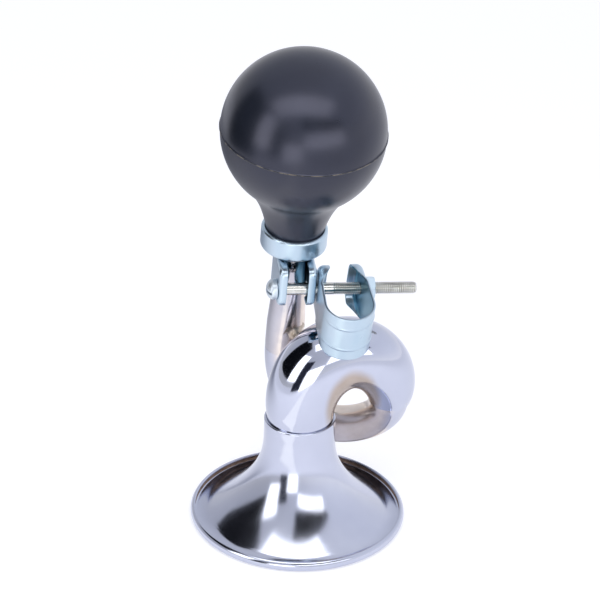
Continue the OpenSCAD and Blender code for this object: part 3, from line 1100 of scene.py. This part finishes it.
@dataclass
class ClampScrew:
    """The slotted screw through both clips, drawn with its helical thread.

    Attributes:
        seat: Seat of the head from the stem's axis, along the screw.
        length: Screw length under the head.
        shank_r: Radius of the plain shank.
        major_r: Outer radius of the thread.
        root_r: Root radius of the thread.
        crest: How flat the crests are, one for a sharp thread.
        pitch: Thread pitch.
        thread_from: Where the thread starts.
        run_in: Length over which the thread rises.
        run_out: Length over which it fades at the end.
        tip_r: Radius of the flat end.
        tip_h: Length of the slope to the flat end.
        head_r: Radius of the head.
        head_h: Height of the head.
        side_h: Height of the head's straight side.
        edge: Chamfer under the head.
        slot: Size of the slot's cutter along, across and through the head.
        slot_in: Depth of the cutter's middle under the head's top.
    """

    seat: float = 6.149
    length: float = 45.2
    shank_r: float = 1.95
    major_r: float = 2.0
    root_r: float = 1.57
    crest: float = 1.35
    pitch: float = 0.7
    thread_from: float = 12.0
    run_in: float = 0.8
    run_out: float = 1.0
    tip_r: float = 1.2
    tip_h: float = 0.1
    head_r: float = 3.4
    head_h: float = 3.4
    side_h: float = 1.0
    edge: float = 0.2
    slot: Point = (2.5, 10.0, 0.9)
    slot_in: float = 0.25

    def shaft(self) -> bpy.types.Mesh:
        """Builds the shank and its helical thread, with eight rings to a turn.

        Returns:
            One mesh.
        """
        place, turns = STEM.screw(), circle(48)
        start, end = self.thread_from - self.run_in / 2, self.length - self.seat
        steps = int((end - self.thread_from) / self.pitch * 8)
        stations = [-self.seat, self.thread_from - self.run_in]
        stations += [start + (end - self.tip_h - start) * i / steps for i in range(steps + 1)]
        rows = []
        for x in stations:
            ease = share(x, start, start + self.run_in)
            fade = share(x, end, end - self.run_out)
            row = []
            for j, turn in enumerate(turns):
                phase = ((x - self.thread_from) / self.pitch - j / len(turns)) % 1.0
                crest = min(1.0, self.crest * (1 - abs(2 * phase - 1)))
                threaded = self.root_r + (self.major_r - self.root_r) * crest * fade
                r = self.shank_r * (1 - ease) + threaded * ease
                row.append(place @ Vector((x, r * math.cos(turn), r * math.sin(turn))))
            rows.append(row)
        for r in (self.tip_r, 0.0):
            rows.append([place @ Vector((end, r * math.cos(t), r * math.sin(t))) for t in turns])
        return grid_mesh("screw_shaft", rows)

    def head(self) -> bpy.types.Mesh:
        """Turns the round head and cuts its slot.

        Returns:
            The mesh.
        """
        side, dome_h = -self.seat - self.side_h, self.head_h - self.side_h
        angles = [math.radians(a) for a in range(0, 91, 5)]
        profile = [(self.head_r * math.sin(a), side - dome_h * math.cos(a)) for a in angles]
        profile += [(self.head_r, -self.seat - self.edge), (self.head_r - self.edge, -self.seat)]
        profile += [(0.0, -self.seat)]
        place = STEM.screw() @ Matrix.Rotation(math.radians(90), 4, "Y")
        mesh = lathe("screw_head", profile, place, 96, False)
        work = bmesh.new()
        bmesh.ops.create_cube(work, size=1.0, matrix=Matrix.Diagonal((*(s * MM for s in self.slot), 1.0)))
        cutter = mesh_from("slot_cutter", work)
        slot = STEM.screw() @ Matrix.Translation((-self.seat - self.head_h + self.slot_in, 0, 0))
        slot.translation *= MM
        cutter.transform(slot)
        return carve("screw_head", mesh, cutter)

    def build(self) -> list[bpy.types.Object]:
        """Builds the screw.

        Returns:
            The shaft and the head.
        """
        shaft = new_object("screw_shaft", self.shaft(), STEEL, Body.SCREW, ["clamp_screw"])
        head = new_object("screw_head", self.head(), DRUM_ZINC, Body.SCREW)
        return [shaft, head]


@dataclass
class StripClip:
    """A plated strip bent into a U, with the margins of both ears folded inwards.

    Attributes:
        name: Piece name.
        node: CAD node that it stands for.
        body: Body that it rides on.
        place: Local frame, with X along the screw and Z across the strip.
        centre: Centre of the ring in that frame.
        ring_r: Outer radius of the ring.
        start: Angle where the ring starts, in degrees.
        turn: Angle of the ring, negative for clockwise, in degrees.
        ears: Length of the ears beyond the ring.
        span: Lower and upper edge of the strip.
        fold: Depth of the folded margins.
        bend_r: Outer radius of the folds.
        fade: Distance from an ear's end where the fold is full and where it has gone.
        corner: Corner radius of the ears.
        bead: Height of the two beads round the ring.
        bead_w: Half the width of a bead.
        bead_run: Length over which a bead rises.
        hole_r: Radius of the screw holes.
        hole_y: Place of the screw's axis.
        drill_l: Length of the drill, which goes through both ears.
        strap: Thickness of the strip.
        edge: Rounding of its edges.
        chamfer: Share of that rounding that its middle point is set in.
        step: Distance of the points along the strip.
        bead_step: Distance of the points across a bead, as a share of the strip's inner half width.
        inner_shade_from: Least cosine of a face's direction with the inside of the U for the painted shade.
    """

    name: str
    node: str
    body: Body
    place: Matrix
    centre: Pair
    ring_r: float
    start: float
    turn: float
    ears: float
    span: Pair
    fold: float
    bend_r: float
    fade: Pair
    corner: float
    bead: float = 0.0
    bead_w: float = 0.36
    bead_run: float = 1.5
    hole_r: float = 2.1
    hole_y: float = 0.0
    drill_l: float = 60.0
    strap: float = SHEET
    edge: float = 0.2
    chamfer: float = 0.3
    step: float = 0.45
    bead_step: float = 0.022
    inner_shade_from: float = 0.6

    def ring(self) -> float:
        """Returns: Length of the ring along its outer face."""
        return abs(math.radians(self.turn)) * self.ring_r

    def total(self) -> float:
        """Returns: Length of the strip along its outer face."""
        return 2 * self.ears + self.ring()

    def half(self) -> float:
        """Returns: Half the width of the strip."""
        return (self.span[1] - self.span[0]) / 2

    def at(self, s: float) -> tuple[Vector, Vector]:
        """Point and inward direction on the outer face.

        Args:
            s: Distance from the first ear's end.

        Returns:
            The point and the direction towards the inside of the U.
        """
        ring_end = self.ears + self.ring()
        angle = math.radians(self.start + self.turn * share(s, self.ears, ring_end))
        out = Vector((math.cos(angle), math.sin(angle), 0.0))
        along = Vector((-out.y, out.x, 0.0)) * math.copysign(1.0, self.turn)
        rest = min(s - self.ears, 0.0) + max(s - ring_end, 0.0)
        return Vector((*self.centre, 0.0)) + out * self.ring_r + along * rest, -out

    def section(self, folded: float) -> Profile:
        """Edge of the strip, from its outer face round to its inner face.

        Args:
            folded: One where the margin is folded in and zero where it is flat.

        Returns:
            Distances from the edge and heights above the outer face.
        """
        t, r, f, e = self.strap, self.bend_r, self.fold, self.edge
        cut = e * self.chamfer
        arcs = [math.radians(90 * i / 8) for i in range(8, -1, -1)]
        bent = [(r - r * math.cos(a), r - r * math.sin(a)) for a in arcs]
        bent += [(0.0, f - e), (cut, f - cut), (e, f), (t - e, f), (t - cut, f - cut), (t, f - e)]
        bent += [(r - (r - t) * math.cos(a), r - (r - t) * math.sin(a)) for a in arcs[::-1]]
        reach = [e + (r - e) * i / 9 for i in range(9, 0, -1)]
        lip = [(e, 0.0), (cut, cut), (0.0, e), (0.0, t - e), (cut, t - cut), (e, t)]
        flat = [(d, 0.0) for d in reach] + lip + [(d, t) for d in reach[::-1]]
        return [(a[0] + (b[0] - a[0]) * folded, a[1] + (b[1] - a[1]) * folded) for a, b in zip(flat, bent)]

    def folded(self, s: float) -> float:
        """Returns: How far the margin is folded at a distance along the strip."""
        return share(min(s, self.total() - s), self.fade[1], self.fade[0])

    def point(self, s: float, w: float, h: float) -> Vector:
        """Point of the bent strip, with its beads.

        Args:
            s: Distance along the strip.
            w: Distance across it from its middle.
            h: Height inside its outer face.

        Returns:
            The point in the horn's frame.
        """
        base, inward = self.at(s)
        onset = min(s - self.ears, self.ears + self.ring() - s)
        off = abs(abs(w) - self.half() / 2)
        rib = self.bead * share(onset, 0.0, self.bead_run) * math.exp(-((off / self.bead_w) ** 2))
        middle = (self.span[0] + self.span[1]) / 2
        return self.place @ (base + inward * (h - rib) + Vector((0, 0, middle + w)))

    def outline(self) -> list[tuple[float, float, float, float]]:
        """Works out the lower half of the flat strip's outline.

        Returns:
            Places along and across the strip, with their inward normals.
        """
        total, half, c = self.total(), self.half(), self.corner
        turns = [math.radians(90 * i / 10) for i in range(11)]
        first = [(c - c * math.cos(a), c - half - c * math.sin(a), math.cos(a), math.sin(a)) for a in turns]
        steps = int((total - 2 * c) / self.step)
        side = [(c + (total - 2 * c) * i / steps, -half, 0.0, 1.0) for i in range(1, steps)]
        last = [(total - s, w, -ns, nw) for s, w, ns, nw in first[::-1]]
        return first + side + last

    def mesh(self) -> bpy.types.Mesh:
        """Bends the strip, with finer rows of points at its beads.

        Returns:
            A closed mesh.
        """
        near = self.half() / 2 / (self.half() - self.bend_r)
        fine = [near + self.bead_step * i for i in range(-7, 8)]
        shares = [-1.0] + [-f for f in fine[::-1]] + [-0.25, 0.0, 0.25] + fine + [1.0]
        lower = self.outline()
        loop = lower + [(lower[-1][0], m * -lower[-1][1], -1.0, 0.0) for m in shares[1:-1]]
        loop += [(s, -w, ns, -nw) for s, w, ns, nw in lower[::-1]]
        loop += [(0.0, m * -lower[0][1], 1.0, 0.0) for m in shares[-2:0:-1]]
        skirts = []
        for s, w, ns, nw in loop:
            edge = self.section(self.folded(s))
            skirts.append([self.point(s + ns * d, w + nw * d, h) for d, h in edge])
        inside = [(s + ns * self.bend_r, abs(w + nw * self.bend_r)) for s, w, ns, nw in lower]
        work = bmesh.new()
        add_grid(work, skirts + skirts[:1])
        for h in (0.0, self.strap):
            add_grid(work, [[self.point(s, w * m, h) for m in shares] for s, w in inside])
        mesh = mesh_from(self.name, work)
        tidy(mesh)
        return mesh

    def drill(self) -> bpy.types.Mesh:
        """Makes the cutter for the screw holes.

        Returns:
            A bar along the screw, longer than the clip is wide.
        """
        axis = self.place @ Matrix.Translation((self.centre[0], self.hole_y, 0))
        axis = axis @ Matrix.Rotation(math.radians(90), 4, "Y")
        axis.translation *= MM
        r, length = self.hole_r * MM, self.drill_l * MM
        work = bmesh.new()
        bmesh.ops.create_cone(
            work, cap_ends=True, segments=48, radius1=r, radius2=r, depth=length, matrix=axis
        )
        return mesh_from("hole_cutter", work)

    def inward(self, point: Vector) -> Vector:
        """Direction towards the inside of the U.

        Args:
            point: Point of the strip in its own frame.

        Returns:
            The direction, across the strip.
        """
        start, side = math.radians(self.start), math.copysign(1.0, self.turn)
        off = Vector((point.x - self.centre[0], point.y - self.centre[1], 0.0))
        way = side * (math.atan2(off.y, off.x) - start) % (2 * math.pi)
        swept = abs(math.radians(self.turn))
        if way > swept:
            way = swept if way < swept / 2 + math.pi else 0.0
        angle = start + side * way
        return -Vector((math.cos(angle), math.sin(angle), 0.0))

    def build(self) -> list[bpy.types.Object]:
        """Bends and drills the strip; the faces that look inwards get painted shade, a darker blue.

        Returns:
            The clip.
        """
        mesh = carve(self.name, self.mesh(), self.drill())
        clip = new_object(self.name, mesh, ZINC, self.body, [self.node])
        local = self.place.inverted()
        looks = [
            (face, self.inward(local @ (face.center / MM)).dot(local.to_3x3() @ face.normal))
            for face in mesh.polygons
        ]
        # Painted shade: the faces that look into the U take the darker blue zinc.
        repaint(mesh, ZINC_INNER_SHADE, [face for face, look in looks if look > self.inner_shade_from])
        return [clip]


def stem_clip() -> StripClip:
    """Returns: The clip that grips the stem."""
    place = STEM.screw() @ Matrix.Translation((0, STEM.screw_off, 0))
    return StripClip(
        "stem_strip", "stem_clip", Body.STEM_CLIP, place,
        centre=(0.0, 0.0), ring_r=6.129, start=180, turn=-180, ears=15.1, span=(-5.3, 8.9),
        fold=2.75, bend_r=1.5, fade=(5.6, 9.1), corner=3.0, hole_y=-STEM.screw_off,
    )


def bar_clip() -> StripClip:
    """Returns: The clip that grips the bar, with its two beads."""
    place = STEM.screw() @ Matrix.Rotation(math.radians(10), 4, "X")
    return StripClip(
        "bar_strip", "bar_clip", Body.BAR_CLIP, place,
        centre=(14.599, -15.5), ring_r=8.15, start=180, turn=185, ears=19.8, span=(-8.8, 8.8),
        fold=3.9, bend_r=2.3, fade=(3.2, 10.3), corner=4.4, bead=0.2,
    )


@dataclass
class CadSkin:
    """A piece that shows its CAD solid, with softened edges.

    Attributes:
        node: CAD node.
        finish: Its surface.
        edge_mm: Width of the softened edges.
    """

    node: str
    finish: Finish
    edge_mm: float

    def build(self) -> list[bpy.types.Object]:
        """Paints the node and softens its edges.

        Returns:
            The node's object.
        """
        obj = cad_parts[self.node]
        obj.data.materials.clear()
        obj.data.materials.append(self.finish.build())
        bevel = obj.modifiers.new("edge", "BEVEL")
        bevel.width = self.edge_mm * MM
        bevel.segments = 3
        bevel.limit_method = "ANGLE"
        bevel.angle_limit = math.radians(40)
        bevel.harden_normals = True
        return [obj]


CAD_SKINS = (
    CadSkin("reed_tube", BRASS, 0.1),
    CadSkin("reed_wedge", BRASS, 0.1),
    CadSkin("reed_tongue", BRASS, 0.05),
    CadSkin("clamp_nut", ZINC, 0.15),
)


def hang_lamp(name: str, place: Vector, face: Vector, size: Pair, level: float) -> None:
    """Adds a rectangular lamp that the camera itself does not see.

    Args:
        name: Lamp name.
        place: Centre in millimetres.
        face: Direction that it shines.
        size: Width and height in millimetres.
        level: Radiance, where one is white.
    """
    data = bpy.data.lights.new(name, "AREA")
    data.shape = "RECTANGLE"
    data.size, data.size_y = size[0] * MM, size[1] * MM
    data.energy = level * math.pi * data.size * data.size_y
    obj = bpy.data.objects.new(name, data)
    obj.matrix_world = Matrix.Translation(place * MM) @ face.to_track_quat("-Z", "Y").to_matrix().to_4x4()
    obj.visible_camera = False
    bpy.context.scene.collection.objects.link(obj)


def lay_sheet(name: str, size: Pair, place: Matrix, material: bpy.types.Material) -> bpy.types.Object:
    """Adds a flat sheet to the studio.

    Args:
        name: Sheet name.
        size: Width and height in millimetres.
        place: Its frame in metres, with Z out of its face.
        material: Its surface.

    Returns:
        The object.
    """
    x, y = (s / 2 * MM for s in size)
    mesh = bpy.data.meshes.new(name)
    mesh.from_pydata([(-x, -y, 0), (x, -y, 0), (x, y, 0), (-x, y, 0)], [], [(0, 1, 2, 3)])
    mesh.materials.append(material)
    obj = bpy.data.objects.new(name, mesh)
    obj.matrix_world = place
    bpy.context.scene.collection.objects.link(obj)
    return obj


@dataclass(frozen=True)
class SoftBox:
    """An upright light box that faces the horn's axis.

    Attributes:
        name: Lamp name.
        turn: Direction from the horn in degrees, 0 towards the camera and positive to the right.
        away: Distance from the horn's axis.
        low: Height of its lower edge.
        high: Height of its upper edge.
        width: Its width.
        level: Radiance, where one is white.
    """

    name: str
    turn: float
    away: float
    low: float
    high: float
    width: float
    level: float

    def build(self) -> None:
        """Hangs the lamp, which only lights and mirrors."""
        turn = math.radians(self.turn)
        middle = (self.low + self.high) / 2
        place = Vector((math.sin(turn) * self.away, -math.cos(turn) * self.away, middle))
        face = Vector((-place.x, -place.y, 0.0))
        hang_lamp(self.name, place, face, (self.width, self.high - self.low), self.level)


@dataclass(frozen=True)
class MirrorCard:
    """A card of the studio that shows in the metal and nowhere else.

    Attributes:
        name: Card name.
        place: Centre in millimetres.
        face: Direction that it faces.
        size: Width and height in millimetres.
        colour: sRGB colour.
        level: Brightness of the colour.
        fade: Share of the way from the edge to the middle over which the card thins out.
    """

    name: str
    place: Point
    face: Point
    size: Pair
    colour: str
    level: float = 1.0
    fade: float = 0.0

    def paint(self) -> bpy.types.Material:
        """Makes the card's surface, which thins out towards its edge where it has a fade.

        Returns:
            The material.
        """
        material = blank_material(self.name + "_card")
        tree = material.node_tree
        surface = add_node(tree, "ShaderNodeEmission", {"Color": linear(self.colour), "Strength": self.level})
        if self.fade:
            where = add_node(tree, "ShaderNodeTexCoord").outputs["Object"]
            inputs = {0: where, 1: tuple(2 / (s * MM) for s in self.size) + (0.0,)}
            off = add_node(tree, "ShaderNodeVectorMath", inputs, operation="MULTIPLY").outputs[0]
            far = add_node(tree, "ShaderNodeVectorMath", {0: off}, operation="LENGTH").outputs["Value"]
            inputs = {"Value": far, "From Min": 1.0, "From Max": 1.0 - self.fade}
            mask = add_node(tree, "ShaderNodeMapRange", inputs, interpolation_type="SMOOTHSTEP")
            clear = add_node(tree, "ShaderNodeBsdfTransparent")
            inputs = {0: mask.outputs["Result"], 1: clear.outputs[0], 2: surface.outputs[0]}
            surface = add_node(tree, "ShaderNodeMixShader", inputs)
        add_node(tree, "ShaderNodeOutputMaterial", {"Surface": surface.outputs[0]})
        return material

    def build(self) -> None:
        """Stands the card up, out of sight of all but mirrors."""
        turn = Vector(self.face).to_track_quat("Z", "Y").to_matrix().to_4x4()
        place = Matrix.Translation(Vector(self.place) * MM) @ turn
        obj = lay_sheet(self.name, self.size, place, self.paint())
        obj.visible_camera = obj.visible_diffuse = False
        obj.visible_shadow = obj.visible_transmission = False


ROOM_STOPS = ((0.0, "#f2f3fa"), (0.5, "#fdfdff"), (0.62, "#eceef6"), (0.78, "#e4e7f1"), (1.0, "#f2f4fb"))


@dataclass
class Studio:
    """White table, a pale room, soft boxes, cards for the metal to mirror, and the camera.

    Attributes:
        target: Point that the camera looks at, in millimetres.
        distance: Camera distance in millimetres.
        pitch: Camera pitch below the horizon, in degrees.
        roll: Camera roll in degrees.
        lens: Lens in millimetres on a 36 mm sensor.
        room_level: Brightness of the room in the middle, and what it gains to the right.
        table: Side of the table in millimetres.
        table_colour: sRGB colour of the table.
        table_lift: White that the table adds where the camera or a mirror sees it.
        top_place: Centre of the box overhead, in millimetres.
        top_size: Width and depth of that box.
        top_level: Radiance of that box.
        boxes: Soft boxes.
        cards: Cards that the metal mirrors.
    """

    target: Point = (-1.105, -1.304, 81.74)
    distance: float = 1200.0
    pitch: float = 30.0
    roll: float = 1.7
    lens: float = 226.74
    room_level: Pair = (0.93, 0.27)
    table: float = 8000.0
    table_colour: str = "#dcdce0"
    table_lift: float = 0.4
    top_place: Point = (-10, -92, 300)
    top_size: Pair = (280, 100)
    top_level: float = 2.0
    boxes: tuple[SoftBox, ...] = (
        SoftBox("left_box", turn=-57, away=420, low=95, high=415, width=185, level=2.2),
        SoftBox("right_box", turn=29, away=284, low=150, high=255, width=300, level=2.0),
        SoftBox("front_box", turn=-14, away=430, low=4, high=190, width=200, level=2.0),
    )
    cards: tuple[MirrorCard, ...] = (
        MirrorCard("left_flag", (-150, 8, 168), (1, 0, 0), (140, 190), "#0c0d12"),
        MirrorCard("gap_flag", (-353, -485, 212), (0.59, 0.81, 0), (230, 420), "#2c2f3c"),
        MirrorCard("front_flag", (150, -221, 285), (0, 0, -1), (340, 158), "#0c0d12"),
        MirrorCard("table_strip", (-40, -235, 0.5), (0, 0, 1), (44, 390), "#ffffff", level=1.5),
        MirrorCard("table_shade", (-150, 245, 0.6), (0, 0, 1), (440, 620), "#8c8f9c", fade=0.85),
    )

    def camera(self) -> None:
        """Places the camera at the photograph's angle."""
        pitch, roll = math.radians(self.pitch), math.radians(self.roll)
        ahead = Vector((0, math.cos(pitch), -math.sin(pitch)))
        right, up = Vector((1, 0, 0)), Vector((0, math.sin(pitch), math.cos(pitch)))
        right, up = right * math.cos(roll) + up * math.sin(roll), up * math.cos(roll) - right * math.sin(roll)
        turn = Matrix((right, up, -ahead)).transposed().to_4x4()
        data = bpy.data.cameras.new("camera")
        data.lens = self.lens
        data.sensor_width = 36.0
        data.clip_end = 20.0
        obj = bpy.data.objects.new("camera", data)
        obj.matrix_world = Matrix.Translation((Vector(self.target) - ahead * self.distance) * MM) @ turn
        bpy.context.scene.collection.objects.link(obj)
        bpy.context.scene.camera = obj

    def room(self) -> None:
        """Gives the room pale walls, the same for every ray."""
        world = bpy.data.worlds.new("studio_room")
        bpy.context.scene.world = world
        world.use_nodes = True
        tree = world.node_tree
        tree.nodes.clear()
        way = add_node(tree, "ShaderNodeTexCoord").outputs["Generated"]
        parts = add_node(tree, "ShaderNodeSeparateXYZ", {0: way}).outputs
        inputs = {"Value": parts["Z"], "From Min": -1.0, "From Max": 1.0}
        height = add_node(tree, "ShaderNodeMapRange", inputs).outputs["Result"]
        colour = add_node(tree, "ShaderNodeValToRGB", {"Fac": height}, ROOM_STOPS).outputs["Color"]
        inputs = {0: parts["X"], 1: self.room_level[1], 2: self.room_level[0]}
        level = add_node(tree, "ShaderNodeMath", inputs, operation="MULTIPLY_ADD").outputs[0]
        walls = add_node(tree, "ShaderNodeBackground", {"Color": colour, "Strength": level})
        add_node(tree, "ShaderNodeOutputWorld", {"Surface": walls.outputs[0]})

    def floor(self) -> None:
        """Lays a white table that keeps the horn's shadow."""
        material = blank_material("white_table_matt")
        tree = material.node_tree
        paths = add_node(tree, "ShaderNodeLightPath").outputs
        seen = paths["Is Camera Ray"]
        for kind in ("Is Glossy Ray", "Is Transmission Ray"):
            seen = add_node(tree, "ShaderNodeMath", {0: seen, 1: paths[kind]}, operation="MAXIMUM").outputs[0]
        inputs = {0: seen, 1: self.table_lift}
        lift = add_node(tree, "ShaderNodeMath", inputs, operation="MULTIPLY").outputs[0]
        paint = add_node(tree, "ShaderNodeBsdfDiffuse", {"Color": linear(self.table_colour)})
        glow = add_node(tree, "ShaderNodeEmission", {"Color": (1, 1, 1, 1), "Strength": lift})
        both = add_node(tree, "ShaderNodeAddShader", {0: paint.outputs[0], 1: glow.outputs[0]})
        add_node(tree, "ShaderNodeOutputMaterial", {"Surface": both.outputs[0]})
        lay_sheet("table", (self.table, self.table), Matrix.Identity(4), material)

    def build(self) -> None:
        """Sets up the view, the room and the lights."""
        bpy.context.scene.view_settings.view_transform = "Standard"
        self.camera()
        self.room()
        self.floor()
        for piece in self.boxes + self.cards:
            piece.build()
        hang_lamp("top_box", Vector(self.top_place), Vector((0, 0, -1)), self.top_size, self.top_level)


def main() -> None:
    """Builds the horn, dresses it and lights it."""
    logging.basicConfig(level=logging.INFO, format="%(name)s %(message)s")
    parts = (Bell(), Loop(), Stem(), RubberBulb(), ClampScrew(), stem_clip(), bar_clip(), *CAD_SKINS)
    for part in parts:
        for piece in part.build():
            LOG.info("%s: %d faces, %s", piece.name, len(piece.data.polygons), piece.data.materials[0].name)
    Studio().build()


if __name__ == "__main__":
    main()
